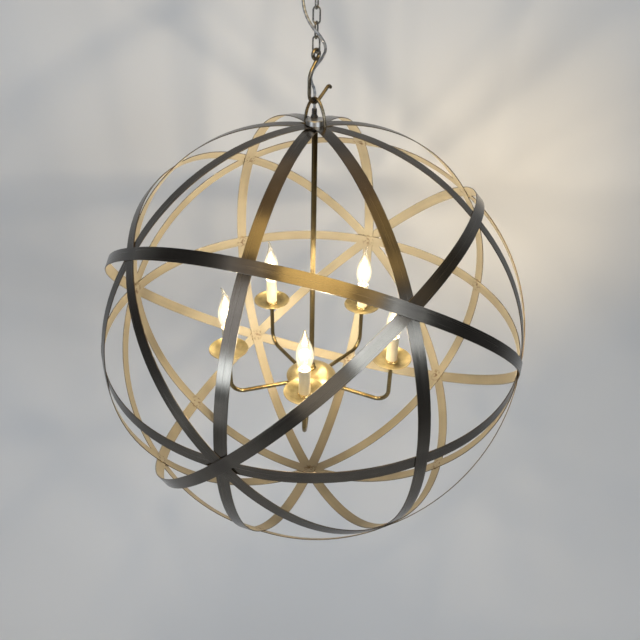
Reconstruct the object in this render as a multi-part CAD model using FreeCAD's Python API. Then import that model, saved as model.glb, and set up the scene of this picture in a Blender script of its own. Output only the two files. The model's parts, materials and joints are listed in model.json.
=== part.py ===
"""Orb chandelier: nine crossed flat-band hoops hang by a bail, a hook and a chain from a ceiling canopy,
and five candle lights stand on arms round a hub in the middle.

Millimetres, +Z up. The origin is the centre of the ceiling face of the canopy, and the rest hangs below it.
"""

import FreeCAD, Part
import math
import os

V = FreeCAD.Vector
UP = V(0, 0, 1)

# ---- driving dimensions --------------------------------------------------------------------------
BAND_WIDTH = 21.0
BAND_THICK = 1.5
CAGE_INNER = 377.0          # from the centre to the inside face of the innermost band at a crossing
BAND_BULGE = 1.2            # a band stands this much prouder half-way between two crossings
WELD_LENGTH = 5.0
WELD_LEG = 2.0
SEAT_MARGIN = 2.2           # a seat runs this far past the bands on it, so that a weld lies flat too

BAIL_WIRE = 2.5             # wire sizes are radii
BAIL_HALF_SPAN = 20.5
BAIL_HEIGHT = 42.0
BAIL_CROWN = 11.0           # radius of the bend at its top
BAIL_TURN = -22.5           # degrees about Z, from +X
HOOK_WIRE = 2.75
HOOK_BEND = 14.0
HOOK_SHANK = 20.0
HOOK_EYE_RADIUS = 6.6
HOOK_EYE_WIRE = 2.85        # thicker than the rest, where the wire is welded shut
HOOK_EYE_RISE = 70.0        # from the bottom of the hook's bend to the middle of its eye
HOOK_LEAN = 40.0            # degrees from upright, where the wire crosses over to its eye
HOOK_LIP_ANGLE = 38.0
HOOK_LIP_LENGTH = 24.0
HOOK_CURL = 4.5
LINK_WIRE = 1.3
LINK_BEND = 5.3
LINK_SPAN = 22.9            # between the wire centres at the two ends of a link
LINK_COUNT = 5
LOOP_WIRE = 2.0
LOOP_BEND = 8.0
HANG_GAP = 0.3              # between two pieces that hang in each other

CANOPY_RADIUS = 63.5
CANOPY_DEPTH = 26.0
CANOPY_FLOOR_RADIUS = 32.0
SHEET = 1.2
CROSSBAR = (100.0, 18.0, 2.0)
CEILING_HOLE_SPACING = 88.9
CEILING_HOLE = 2.3          # radius
PIPE = 4.75                 # radius of the threaded lamp pipe and of the rod
PIPE_BORE = 3.2
PIPE_CLEARANCE = 0.1
NUT_SIZE = 15.0             # across the flats
NUT_HEIGHT = 4.0

HUB_DISC_RADIUS = 14.5
HUB_DISC_HEIGHT = 8.0
HUB_DISC_ROOF = 3.0         # what is left of the disc above the rod's end
RELIEF_PLACE = (-6.4, 5.2)  # along and across the bail, from the axis
RELIEF_HEIGHT = 14.0
CORD_RADIUS = 2.25
BUSHING_PLACE = (-21.0, 0.0)

DOME_RADIUS = 48.5
DOME_TOP = -98.0            # heights from here down are from the centre of the cage
DOME_RIM = -117.0
DOME_LAND = 12.0
SET_SCREW_TURN = -112.0     # degrees about Z, from +X
SET_SCREW_RADIUS = 1.5
SET_SCREW_RISE = 6.0        # above the dome
HUB_BODY_RADIUS = 30.0
HUB_BODY_BOTTOM = -137.0
HUB_NECK = 10.0
BASE_PLATE_RADIUS = 34.0
BASE_PLATE_THICK = 5.0

ARM_COUNT = 5
FIRST_ARM = -74.5           # degrees about Z, from +X
ARM_RADIUS = 4.0
ARM_FIT = 0.05
ARM_START = 22.0            # from the axis to the arm's end inside the hub
ARM_HEIGHT = -125.6
ARM_SLOPE = 2.5
ARM_BEND = 26.0
CANDLE_RADIUS = 158.0       # from the axis to the candles
PAN_FLOOR = -33.0           # underside of a drip pan
PAN_THICK = 1.0
PAN_RADIUS = 36.5
PAN_FLAT = 17.0
PAN_RISE = 7.5
CUP_HEIGHT = 16.0
SLEEVE_RADIUS = 11.0
SLEEVE_BORE = 9.7
SLEEVE_TOP = 22.0
SOCKET_RADIUS = 8.6
SOCKET_TOP = 16.0
BULB_BASE_RADIUS = 6.3
BULB_RADIUS = 17.0
BULB_TIP = 106.0

# ---- heights worked out from the dimensions, above the centre of the cage ------------------------
CAGE_TOP = CAGE_INNER + 4 * BAND_THICK
BAIL_TOP_WIRE = CAGE_TOP + BAIL_HEIGHT - BAIL_WIRE
HOOK_BOTTOM_WIRE = BAIL_TOP_WIRE - BAIL_WIRE - HANG_GAP - HOOK_WIRE
HOOK_EYE = HOOK_BOTTOM_WIRE + HOOK_EYE_RISE
HOOK_TOP_WIRE = HOOK_EYE + HOOK_EYE_RADIUS
LAST_LINK_WIRE = HOOK_TOP_WIRE - HOOK_EYE_WIRE - HANG_GAP - LINK_WIRE
LINK_PITCH = LINK_SPAN - 2 * LINK_WIRE - HANG_GAP
FIRST_LINK_TOP = LAST_LINK_WIRE + LINK_SPAN + (LINK_COUNT - 1) * LINK_PITCH
LOOP_BOTTOM_WIRE = FIRST_LINK_TOP - LINK_WIRE - HANG_GAP - LOOP_WIRE
LOOP_MIDDLE = LOOP_BOTTOM_WIRE + LOOP_BEND
LOOP_NECK = 12.0            # from the top of the loop's ring to the canopy
CEILING = LOOP_MIDDLE + LOOP_BEND + LOOP_WIRE + LOOP_NECK + CANOPY_DEPTH
PAN_TOP = PAN_FLOOR + PAN_THICK


# ---- small helpers -------------------------------------------------------------------------------
def level(height):
    """Height in the part's own frame of a height above the centre of the cage."""
    return height - CEILING


def heading(degrees):
    """Level unit vector at an angle from +X."""
    a = math.radians(degrees)
    return V(math.cos(a), math.sin(a), 0)


def rod(radius, bottom, top, place=(0, 0)):
    return Part.makeCylinder(radius, top - bottom, V(place[0], place[1], bottom))


def turned(corners):
    """Solid of revolution about Z of a closed outline of (radius, height) corners or ready edges."""
    edges = []
    for a, b in zip(corners, corners[1:] + corners[:1]):
        edges.append(Part.makeLine(V(a[0], 0, a[1]), V(b[0], 0, b[1])))
    return Part.Face(Part.Wire(edges)).revolve(V(0, 0, 0), UP, 360)


def swept(path_edges, radius):
    """Round wire along a flat or bent path of joined lines and arcs."""
    path = Part.Wire(path_edges)
    first = path_edges[0]
    start = first.valueAt(first.FirstParameter)
    tangent = first.tangentAt(first.FirstParameter)
    profile = Part.Wire(Part.makeCircle(radius, start, tangent))
    return path.makePipeShell([profile], True, False)


def line(a, b):
    return Part.LineSegment(a, b).toShape()


def arc(a, middle, b):
    return Part.Arc(a, middle, b).toShape()


def hex_nut(across, height, bore, bottom):
    corner = across / math.sqrt(3)
    points = [heading(60 * i) * corner + UP * bottom for i in range(7)]
    blank = Part.Face(Part.makePolygon(points)).extrude(UP * height)
    chamfer = turned([(0, bottom - 1), (corner - 0.6, bottom - 1), (corner - 0.6, bottom),
                      (corner + 1, bottom + 1.2), (corner + 1, bottom + height - 1.2),
                      (corner - 0.6, bottom + height), (0, bottom + height)])
    return blank.common(chamfer).cut(rod(bore, bottom - 1, bottom + height + 1))


def placed(shape, turn_degrees=0.0, move=V(0, 0, 0)):
    copy = shape.copy()
    copy.rotate(V(0, 0, 0), UP, turn_degrees)
    copy.translate(move)
    return copy


def round_candles(shape):
    """The same piece under each of the five candles. It is given on the Z axis."""
    copies = []
    for i in range(ARM_COUNT):
        turn = FIRST_ARM + 360.0 / ARM_COUNT * i
        copies.append(placed(shape, turn, heading(turn) * CANDLE_RADIUS))
    return Part.makeCompound(copies)


# ---- cage of nine hoops --------------------------------------------------------------------------
HOOPS = {
    "hoop_meridian_x": V(1, 0, 0),
    "hoop_meridian_y": V(0, 1, 0),
    "hoop_equator": V(0, 0, 1),
    "hoop_upright_right": V(1, -1, 0),
    "hoop_upright_left": V(1, 1, 0),
    "hoop_slanted_right": V(1, 0, -1),
    "hoop_slanted_left": V(1, 0, 1),
    "hoop_tilted_front": V(0, 1, 1),
    "hoop_tilted_back": V(0, 1, -1),
}
# Which hoop lies over which where four cross: the two square ones inside, the two diagonal ones outside.
STACKS = {
    "z": ["hoop_meridian_x", "hoop_meridian_y", "hoop_upright_right", "hoop_upright_left"],
    "x": ["hoop_equator", "hoop_meridian_y", "hoop_tilted_back", "hoop_tilted_front"],
    "y": ["hoop_equator", "hoop_meridian_x", "hoop_slanted_left", "hoop_slanted_right"],
}
THREE_DEEP = ["hoop_upright", "hoop_slanted", "hoop_tilted"]


def crossings():
    """Unit directions of the 26 points where hoops cross: 6 of four bands, 12 of two and 8 of three."""
    steps = (-1, 0, 1)
    return [V(x, y, z) for x in steps for y in steps for z in steps if (x, y, z) != (0, 0, 0)]


def layer_at(name, point):
    """How many bands lie inside this one at the crossing: 0 for the innermost."""
    parts = [abs(point.x), abs(point.y), abs(point.z)]
    if sum(parts) == 1:
        return STACKS["xyz"[parts.index(1)]].index(name)
    if sum(parts) == 2:
        square = name in ("hoop_meridian_x", "hoop_meridian_y", "hoop_equator")
        return 0 if square else 1
    return THREE_DEEP.index(name.rsplit("_", 1)[0])


def half_flat(point):
    """Half the length of the flat seat that a band needs where others cross it at 90, 60 or 45 degrees."""
    angle = math.radians({1: 45, 2: 90, 3: 60}[int(abs(point.x) + abs(point.y) + abs(point.z))])
    return BAND_WIDTH / 2 * (1 + math.cos(angle)) / math.sin(angle) + SEAT_MARGIN


def hoop_outline(name, extra):
    """Closed outline in the hoop's plane: a flat seat at each of its eight crossings, with arcs between."""
    normal = V(HOOPS[name]).normalize()
    points = [V(p).normalize() for p in crossings() if abs(V(p).dot(normal)) < 1e-6]
    first = points[0]
    side = normal.cross(first)
    points.sort(key=lambda p: math.atan2(p.dot(side), p.dot(first)) % (2 * math.pi))
    seats = []
    for p in points:
        grid = V(*[round(c / max(abs(p.x), abs(p.y), abs(p.z))) for c in (p.x, p.y, p.z)])
        along = normal.cross(p)
        middle = p * (CAGE_INNER + BAND_THICK * layer_at(name, grid) + extra)
        seats.append((middle - along * half_flat(grid), middle + along * half_flat(grid)))
    edges = []
    for (start, end), (following, _) in zip(seats, seats[1:] + seats[:1]):
        edges.append(line(start, end))
        proud = (end.Length + following.Length) / 2 + BAND_BULGE
        edges.append(arc(end, V(end + following).normalize() * proud, following))
    return Part.Wire(edges)


def hoop(name):
    normal = V(HOOPS[name]).normalize()
    outer = Part.Face(hoop_outline(name, BAND_THICK)).extrude(normal * BAND_WIDTH)
    inner = Part.Face(hoop_outline(name, 0)).extrude(normal * BAND_WIDTH)
    band = outer.cut(inner)
    band.translate(normal * (-BAND_WIDTH / 2))
    if name in STACKS["z"]:
        band = band.cut(rod(PIPE + PIPE_CLEARANCE, 0, CAGE_INNER + 20))
    return band


def weld_tacks():
    """Two short fillets for each two bands that lie on each other, inside, along the inner one's edges."""
    tacks = []
    for point in crossings():
        out = V(point).normalize()
        stack = [n for n in HOOPS if abs(HOOPS[n].dot(point)) < 1e-6]
        stack.sort(key=lambda n: layer_at(n, point))
        for layer, (inner, outer) in enumerate(zip(stack, stack[1:])):
            across = V(HOOPS[inner]).normalize()
            along_inner = across.cross(out)
            along_outer = V(HOOPS[outer]).normalize().cross(out)
            reach = BAND_WIDTH / 2 / across.dot(along_outer)
            for sign in (-1, 1):
                corner = out * (CAGE_INNER + BAND_THICK * (layer + 1)) + along_outer * (reach * sign)
                away = across * (1 if corner.dot(across) > 0 else -1)
                corner = corner - along_inner * (WELD_LENGTH / 2)
                outline = [corner, corner + away * WELD_LEG, corner - out * BAND_THICK, corner]
                tacks.append(Part.Face(Part.makePolygon(outline)).extrude(along_inner * WELD_LENGTH))
    return Part.makeCompound(tacks)


# ---- hanging gear --------------------------------------------------------------------------------
def bail():
    """Arch of wire, upright at its feet and drawn in to its crown, standing on the outermost band."""
    along = heading(BAIL_TURN)
    rise = BAIL_TOP_WIRE - BAIL_CROWN - CAGE_TOP
    leg_radius = (BAIL_HALF_SPAN ** 2 + rise ** 2 - BAIL_CROWN ** 2) / (2 * (BAIL_HALF_SPAN - BAIL_CROWN))
    leg_turn = math.atan2(rise, leg_radius - BAIL_HALF_SPAN)

    def on_leg(side, turn):
        reach = BAIL_HALF_SPAN - leg_radius * (1 - math.cos(turn))
        return along * (side * reach) + UP * (CAGE_TOP + leg_radius * math.sin(turn))

    return swept([arc(on_leg(-1, 0), on_leg(-1, leg_turn / 2), on_leg(-1, leg_turn)),
                  arc(on_leg(-1, leg_turn), UP * BAIL_TOP_WIRE, on_leg(1, leg_turn)),
                  arc(on_leg(1, leg_turn), on_leg(1, leg_turn / 2), on_leg(1, 0))], BAIL_WIRE)


def hook():
    """Open hook whose wire sweeps across above the bend and closes in an eye, all in one plane."""
    across = heading(BAIL_TURN + 90)

    def at(side, rise):
        return across * side + UP * (HOOK_BOTTOM_WIRE + rise)

    def round_point(middle, radius, degrees):
        a = math.radians(degrees)
        return at(middle[0] + radius * math.cos(a), middle[1] + radius * math.sin(a))

    lean = math.radians(HOOK_LEAN)
    meets_eye = (HOOK_EYE_RADIUS * math.cos(lean), HOOK_EYE_RISE - HOOK_EYE_RADIUS * math.sin(lean))
    shank_top = HOOK_BEND + HOOK_SHANK
    to_side, to_rise = meets_eye[0] + HOOK_BEND, meets_eye[1] - shank_top
    sweep = (to_rise * math.sin(lean) - to_side * math.cos(lean)) / (1 - math.cos(lean))
    sweep_middle = (-HOOK_BEND + sweep, shank_top)
    lip_turn = -90 + HOOK_LIP_ANGLE
    bend = (0, HOOK_BEND)
    lip = math.radians(HOOK_LIP_ANGLE)
    lip_start = round_point(bend, HOOK_BEND, lip_turn)
    lip_end = lip_start + (across * math.cos(lip) + UP * math.sin(lip)) * HOOK_LIP_LENGTH
    curl = (HOOK_BEND * math.sin(lip) + HOOK_LIP_LENGTH * math.cos(lip) + HOOK_CURL * math.sin(lip),
            HOOK_BEND * (1 - math.cos(lip)) + HOOK_LIP_LENGTH * math.sin(lip) - HOOK_CURL * math.cos(lip))
    curl_end = round_point(curl, HOOK_CURL, HOOK_LIP_ANGLE - 10)
    neck = round_point(sweep_middle, sweep, 180 - HOOK_LEAN)
    bend_middle = round_point(bend, HOOK_BEND, (180 + 360 + lip_turn) / 2)
    wire = swept([line(at(*meets_eye), neck),
                  arc(neck, round_point(sweep_middle, sweep, 180 - HOOK_LEAN / 2),
                      at(-HOOK_BEND, shank_top)),
                  line(at(-HOOK_BEND, shank_top), at(-HOOK_BEND, HOOK_BEND)),
                  arc(at(-HOOK_BEND, HOOK_BEND), bend_middle, lip_start),
                  line(lip_start, lip_end),
                  arc(lip_end, round_point(curl, HOOK_CURL, HOOK_LIP_ANGLE + 40), curl_end)], HOOK_WIRE)
    ring = Part.makeTorus(HOOK_EYE_RADIUS, HOOK_EYE_WIRE, at(0, HOOK_EYE_RISE), heading(BAIL_TURN))
    tip = Part.makeSphere(HOOK_WIRE, curl_end)
    return wire.fuse([ring, tip]).removeSplitter()


def chain_link(number):
    """Link number 1 hangs in the canopy's loop. Each is turned a quarter from the one above."""
    middle = FIRST_LINK_TOP - LINK_SPAN / 2 - LINK_PITCH * (number - 1)
    side = heading(90 * ((number - 1) % 2)) * LINK_BEND
    straight = LINK_SPAN / 2 - LINK_BEND
    top, bottom = UP * (middle + straight), UP * (middle - straight)
    end = UP * LINK_BEND
    return swept([line(bottom - side, top - side), arc(top - side, top + end, top + side),
                  line(top + side, bottom + side), arc(bottom + side, bottom - end, bottom - side)],
                 LINK_WIRE)


# ---- ceiling fitting -----------------------------------------------------------------------------
def canopy():
    """Spun dish with a flat floor that the loop's flange closes on, and a hole for the cord's bushing."""
    wall = CEILING - 4.0
    floor = CEILING - CANOPY_DEPTH
    r = CANOPY_RADIUS

    def shoulder(off):
        return arc(V(r - off, 0, wall), V(r - 9.5 - off * 0.8, 0, floor + 6.5 + off * 0.6),
                   V(CANOPY_FLOOR_RADIUS, 0, floor + off))

    hole = PIPE + PIPE_CLEARANCE
    edges = [line(V(r, 0, CEILING), V(r, 0, wall)), shoulder(0),
             line(V(CANOPY_FLOOR_RADIUS, 0, floor), V(hole, 0, floor)),
             line(V(hole, 0, floor), V(hole, 0, floor + SHEET)),
             line(V(hole, 0, floor + SHEET), V(CANOPY_FLOOR_RADIUS, 0, floor + SHEET)), shoulder(SHEET),
             line(V(r - SHEET, 0, wall), V(r - SHEET, 0, CEILING)),
             line(V(r - SHEET, 0, CEILING), V(r, 0, CEILING))]
    dish = Part.Face(Part.Wire(Part.__sortEdges__(edges))).revolve(V(0, 0, 0), UP, 360)
    return dish.cut(rod(4.0, floor - 1, floor + 5, BUSHING_PLACE))


def crossbar():
    length, width, thick = CROSSBAR
    bar = Part.makeBox(length, width, thick, V(-length / 2, -width / 2, CEILING - thick))
    bar = bar.makeFillet(width / 2 - 0.01, [e for e in bar.Edges if abs(e.tangentAt(0).z) > 0.9])
    bar = bar.cut(rod(PIPE + PIPE_CLEARANCE, CEILING - 5, CEILING + 1))
    for sign in (-1, 1):
        bar = bar.cut(rod(CEILING_HOLE, CEILING - 5, CEILING + 1, (sign * CEILING_HOLE_SPACING / 2, 0)))
    return bar


def canopy_loop():
    """Ring with a neck and a flange, screwed on the lamp pipe under the canopy."""
    floor = CEILING - CANOPY_DEPTH
    ring_top = LOOP_MIDDLE + LOOP_BEND
    neck = turned([(0, ring_top - 0.5), (3.6, ring_top - 0.5), (4.2, ring_top + 5.0), (11.0, floor - 6.0),
                   (14.0, floor - 4.0), (14.0, floor), (0, floor)])
    neck = neck.cut(rod(PIPE + PIPE_CLEARANCE, floor - 6.5, floor + 1))
    ring = Part.makeTorus(LOOP_BEND, LOOP_WIRE, UP * LOOP_MIDDLE, V(1, 0, 0))
    return neck.fuse(ring).removeSplitter()


def lamp_pipe(bottom, top):
    return rod(PIPE, bottom, top).cut(rod(PIPE_BORE, bottom - 1, top + 1))


def cord_bushing():
    floor = CEILING - CANOPY_DEPTH
    body = turned([(0, floor - 2.0), (4.6, floor - 2.0), (5.6, floor - 1.0), (5.6, floor), (3.9, floor),
                   (3.9, floor + 3.0), (0, floor + 3.0)])
    return placed(body, 0, V(BUSHING_PLACE[0], BUSHING_PLACE[1], 0))


# ---- cord ----------------------------------------------------------------------------------------
def cord_route():
    """Points from the strain relief, past the hook and across the chain, to the canopy's bushing."""
    along, across = heading(BAIL_TURN), heading(BAIL_TURN + 90)
    start = along * RELIEF_PLACE[0] + across * RELIEF_PLACE[1]
    relief_top = CAGE_TOP + HUB_DISC_HEIGHT + RELIEF_HEIGHT
    floor = CEILING - CANOPY_DEPTH - 2.0
    return [V(start.x, start.y, relief_top), V(start.x, start.y, 415.0), V(-6.0, 14.5, 431.0),
            V(-12.0, 9.0, 446.5), V(-8.5, 9.0, 462.0), V(3.0, 16.0, 477.0), V(13.5, 9.0, 493.0),
            V(12.0, -7.0, 511.0), V(-2.0, -14.5, 527.0), V(-15.0, -11.0, 546.0), V(-21.0, -3.0, 570.0),
            V(*BUSHING_PLACE, 596.0), V(*BUSHING_PLACE, floor)]


def cord(points, radius):
    """Tube of straight runs joined by tangent arcs. Prints the arcs' radii and the length."""
    edges = []
    radii = []
    last = points[0]
    for before, here, after in zip(points, points[1:], points[2:]):
        back, on = before - here, after - here
        turn = math.pi - back.getAngle(on)
        trim = 0.45 * min(back.Length, on.Length)
        radii.append(trim / math.tan(turn / 2))
        start = here + V(back).normalize() * trim
        end = here + V(on).normalize() * trim
        bisector = (V(back).normalize() + V(on).normalize()).normalize()
        middle = here + bisector * (radii[-1] / math.cos(turn / 2) - radii[-1])
        edges += [line(last, start), arc(start, middle, end)]
        last = end
    edges.append(line(last, points[-1]))
    tube = swept(edges, radius)
    length = sum(e.Length for e in edges)
    print("cord arcs, mm:", [round(r, 1) for r in radii], "length", round(length, 1),
          "volume ratio", round(tube.Volume / (length * math.pi * radius ** 2), 4))
    return tube


# ---- rod, hub and arms ---------------------------------------------------------------------------
def top_hub():
    """Disc on the crossing of the bands, screwed on the rod's upper end."""
    bottom, top = CAGE_TOP, CAGE_TOP + HUB_DISC_HEIGHT
    r = HUB_DISC_RADIUS
    bore = PIPE + PIPE_CLEARANCE
    return turned([(bore, bottom), (r, bottom), (r, top - 0.6), (r - 0.6, top), (0, top),
                   (0, top - HUB_DISC_ROOF), (bore, top - HUB_DISC_ROOF)])


def strain_relief():
    """Ribbed black gland in the disc, off the axis, so that the cord clears the bail and the hook."""
    foot = CAGE_TOP + HUB_DISC_HEIGHT
    outline = [(0, foot), (5.6, foot), (5.6, foot + 2.2), (4.5, foot + 3.0)]
    for i in range(3):
        rib = foot + 4.6 + 3.0 * i
        outline += [(4.3, rib), (3.5, rib + 0.5), (3.5, rib + 1.3), (4.2, rib + 1.8)]
    outline += [(3.4, foot + RELIEF_HEIGHT), (0, foot + RELIEF_HEIGHT)]
    along, across = heading(BAIL_TURN), heading(BAIL_TURN + 90)
    return placed(turned(outline), 0, along * RELIEF_PLACE[0] + across * RELIEF_PLACE[1])


def hub_dome():
    """Shallow spun cover with a flat land round the rod."""
    top, rim, r, land = DOME_TOP, DOME_RIM, DOME_RADIUS, DOME_LAND

    def curve(off):
        return arc(V(land, 0, top - off), V(land + 0.62 * (r - land), 0, top - 6.2 - off),
                   V(r - off, 0, rim + 1.5))

    hole = PIPE + PIPE_CLEARANCE
    edges = [line(V(hole, 0, top), V(land, 0, top)), curve(0), line(V(r, 0, rim + 1.5), V(r, 0, rim)),
             line(V(r, 0, rim), V(r - SHEET, 0, rim)),
             line(V(r - SHEET, 0, rim), V(r - SHEET, 0, rim + 1.5)), curve(SHEET),
             line(V(land, 0, top - SHEET), V(hole, 0, top - SHEET)),
             line(V(hole, 0, top - SHEET), V(hole, 0, top))]
    return Part.Face(Part.Wire(Part.__sortEdges__(edges))).revolve(V(0, 0, 0), UP, 360)


def rod_collar():
    bore = PIPE + PIPE_CLEARANCE
    collar = turned([(bore, DOME_TOP), (9.0, DOME_TOP), (9.0, DOME_TOP + 2), (7.5, DOME_TOP + 3.5),
                     (7.5, DOME_TOP + 9), (6.5, DOME_TOP + 10), (bore, DOME_TOP + 10)])
    middle = UP * (DOME_TOP + SET_SCREW_RISE)
    return collar.cut(Part.makeCylinder(SET_SCREW_RADIUS + 0.05, 12, middle, heading(SET_SCREW_TURN)))


def set_screw():
    toward = heading(SET_SCREW_TURN)
    start = UP * (DOME_TOP + SET_SCREW_RISE) + toward * (PIPE + 0.05)
    return Part.makeCylinder(SET_SCREW_RADIUS, 3.6, start, toward)


def hub_body():
    """Turned block that the five arms plug into, with a neck up to the dome's land."""
    bore = PIPE + PIPE_CLEARANCE
    body = turned([(0, HUB_BODY_BOTTOM), (HUB_BODY_RADIUS - 1.5, HUB_BODY_BOTTOM),
                   (HUB_BODY_RADIUS, HUB_BODY_BOTTOM + 1.5), (HUB_BODY_RADIUS, DOME_RIM - 2.0),
                   (HUB_BODY_RADIUS - 2, DOME_RIM), (HUB_NECK, DOME_RIM), (HUB_NECK, DOME_TOP - SHEET),
                   (bore, DOME_TOP - SHEET), (bore, DOME_RIM + 2), (0, DOME_RIM + 2)])
    for i in range(ARM_COUNT):
        outward = heading(FIRST_ARM + 360.0 / ARM_COUNT * i)
        slope = V(outward.x, outward.y, -math.tan(math.radians(ARM_SLOPE)))
        start = outward * ARM_START + UP * ARM_HEIGHT
        body = body.cut(Part.makeCylinder(ARM_RADIUS + ARM_FIT, 20, start, slope))
    return body


def base_plate():
    bottom = HUB_BODY_BOTTOM - BASE_PLATE_THICK
    r = BASE_PLATE_RADIUS
    return turned([(0, bottom), (r - 6, bottom), (r - 1.5, bottom + 1.8), (r, bottom + 3.6),
                   (r, HUB_BODY_BOTTOM), (0, HUB_BODY_BOTTOM)])


def bottom_knob():
    top = HUB_BODY_BOTTOM - BASE_PLATE_THICK
    knob = turned([(0, top - 5.0), (5.0, top - 5.0), (5.0, top - 3.0), (8.0, top - 1.5),
                   (8.0, top), (0, top)])
    return knob.fuse(Part.makeSphere(6.5, UP * (top - 10.0))).removeSplitter()


def arm(number):
    """Bent tube from the hub, a little downhill, then up under its candle."""
    outward = heading(FIRST_ARM + 360.0 / ARM_COUNT * number)
    slope = math.radians(ARM_SLOPE)
    run = V(outward.x * math.cos(slope), outward.y * math.cos(slope), -math.sin(slope))
    start = outward * ARM_START + UP * ARM_HEIGHT
    corner = start + run * ((CANDLE_RADIUS - ARM_START) / math.cos(slope))
    half_turn = (math.pi / 2 + slope) / 2
    trim = ARM_BEND * math.tan(half_turn)
    bend_start, bend_end = corner - run * trim, corner + UP * trim
    toward_middle = (UP - run).normalize()
    bend_middle = corner + toward_middle * (ARM_BEND / math.cos(half_turn) - ARM_BEND)
    top = outward * CANDLE_RADIUS + UP * (PAN_FLOOR - CUP_HEIGHT / 2)
    path = [line(start, bend_start), arc(bend_start, bend_middle, bend_end), line(bend_end, top)]
    return swept(path, ARM_RADIUS)


# ---- candles -------------------------------------------------------------------------------------
def candle_cup():
    """Turned cup on the arm's end, with a stud that goes up through the pan into the socket."""
    bottom = PAN_FLOOR - CUP_HEIGHT
    cup = turned([(0, bottom), (5.6, bottom), (6.2, bottom + 2.0), (6.2, bottom + 5.0), (9.0, bottom + 8.0),
                  (12.5, bottom + 12.5), (13.0, PAN_FLOOR), (4.0, PAN_FLOOR), (4.0, PAN_FLOOR + 8.0),
                  (0, PAN_FLOOR + 8.0)])
    return cup.cut(rod(ARM_RADIUS + ARM_FIT, bottom - 1, PAN_FLOOR - CUP_HEIGHT / 2))


def drip_pan():
    """Dished pan, lower in the middle than at its rim."""
    hole = 4.2

    def side(off):
        return arc(V(PAN_FLAT, 0, PAN_FLOOR + off), V(PAN_FLAT + 12.0, 0, PAN_FLOOR + 1.7 + off),
                   V(PAN_RADIUS - off * 0.6, 0, PAN_FLOOR + PAN_RISE))

    rim = PAN_FLOOR + PAN_RISE
    edges = [line(V(hole, 0, PAN_FLOOR), V(PAN_FLAT, 0, PAN_FLOOR)), side(0),
             line(V(PAN_RADIUS, 0, rim), V(PAN_RADIUS - PAN_THICK * 0.6, 0, rim)),
             side(PAN_THICK), line(V(PAN_FLAT, 0, PAN_TOP), V(hole, 0, PAN_TOP)),
             line(V(hole, 0, PAN_TOP), V(hole, 0, PAN_FLOOR))]
    return Part.Face(Part.Wire(Part.__sortEdges__(edges))).revolve(V(0, 0, 0), UP, 360)


def candle_sleeve():
    return turned([(SLEEVE_BORE, PAN_TOP), (SLEEVE_RADIUS, PAN_TOP), (SLEEVE_RADIUS, SLEEVE_TOP - 0.5),
                   (SLEEVE_RADIUS - 0.5, SLEEVE_TOP), (SLEEVE_BORE, SLEEVE_TOP)])


def candle_socket():
    """Lamp holder: a foot bored for the cup's stud, and a deep bore for the bulb's base."""
    holder = rod(SOCKET_RADIUS, PAN_TOP, SOCKET_TOP)
    holder = holder.cut(rod(4.2, PAN_TOP - 1, PAN_FLOOR + 9.0))
    return holder.cut(rod(BULB_BASE_RADIUS + 0.3, SOCKET_TOP - 26.0, SOCKET_TOP + 1))


def bulb_base():
    bottom = SOCKET_TOP - 22.0
    return turned([(0, bottom - 2.0), (2.2, bottom - 2.0), (3.0, bottom), (BULB_BASE_RADIUS, bottom + 3.0),
                   (BULB_BASE_RADIUS, SOCKET_TOP + 2.0), (0, SOCKET_TOP + 2.0)])


def bulb_glass():
    """Flame-shaped envelope, whose pointed end bends to one side."""
    foot = SOCKET_TOP + 2.0
    swell = Part.BSplineCurve()
    swell.interpolate([V(BULB_BASE_RADIUS, 0, foot), V(10.6, 0, foot + 9.0), V(BULB_RADIUS, 0, foot + 31.0),
                       V(13.0, 0, foot + 50.0), V(6.4, 0, foot + 66.0)])
    neck = foot + 66.0
    outline = [swell.toShape(), line(V(6.4, 0, neck), V(0, 0, neck)), line(V(0, 0, neck), V(0, 0, foot)),
               line(V(0, 0, foot), V(BULB_BASE_RADIUS, 0, foot))]
    body = Part.Face(Part.Wire(outline)).revolve(V(0, 0, 0), UP, 360)
    rings = []
    tip = ((6.4, 0.0, 0.0, 0), (3.9, 0.7, 8.6, 10), (2.3, 3.2, 15.8, 24), (0.9, 7.0, 21.6, 36))
    for radius, side, rise, lean in tip:
        axis = V(math.sin(math.radians(lean)), 0, math.cos(math.radians(lean)))
        rings.append(Part.Wire(Part.makeCircle(radius, V(side, 0, neck + rise), axis)))
    return body.fuse(Part.makeLoft(rings, True)).removeSplitter()


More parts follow.
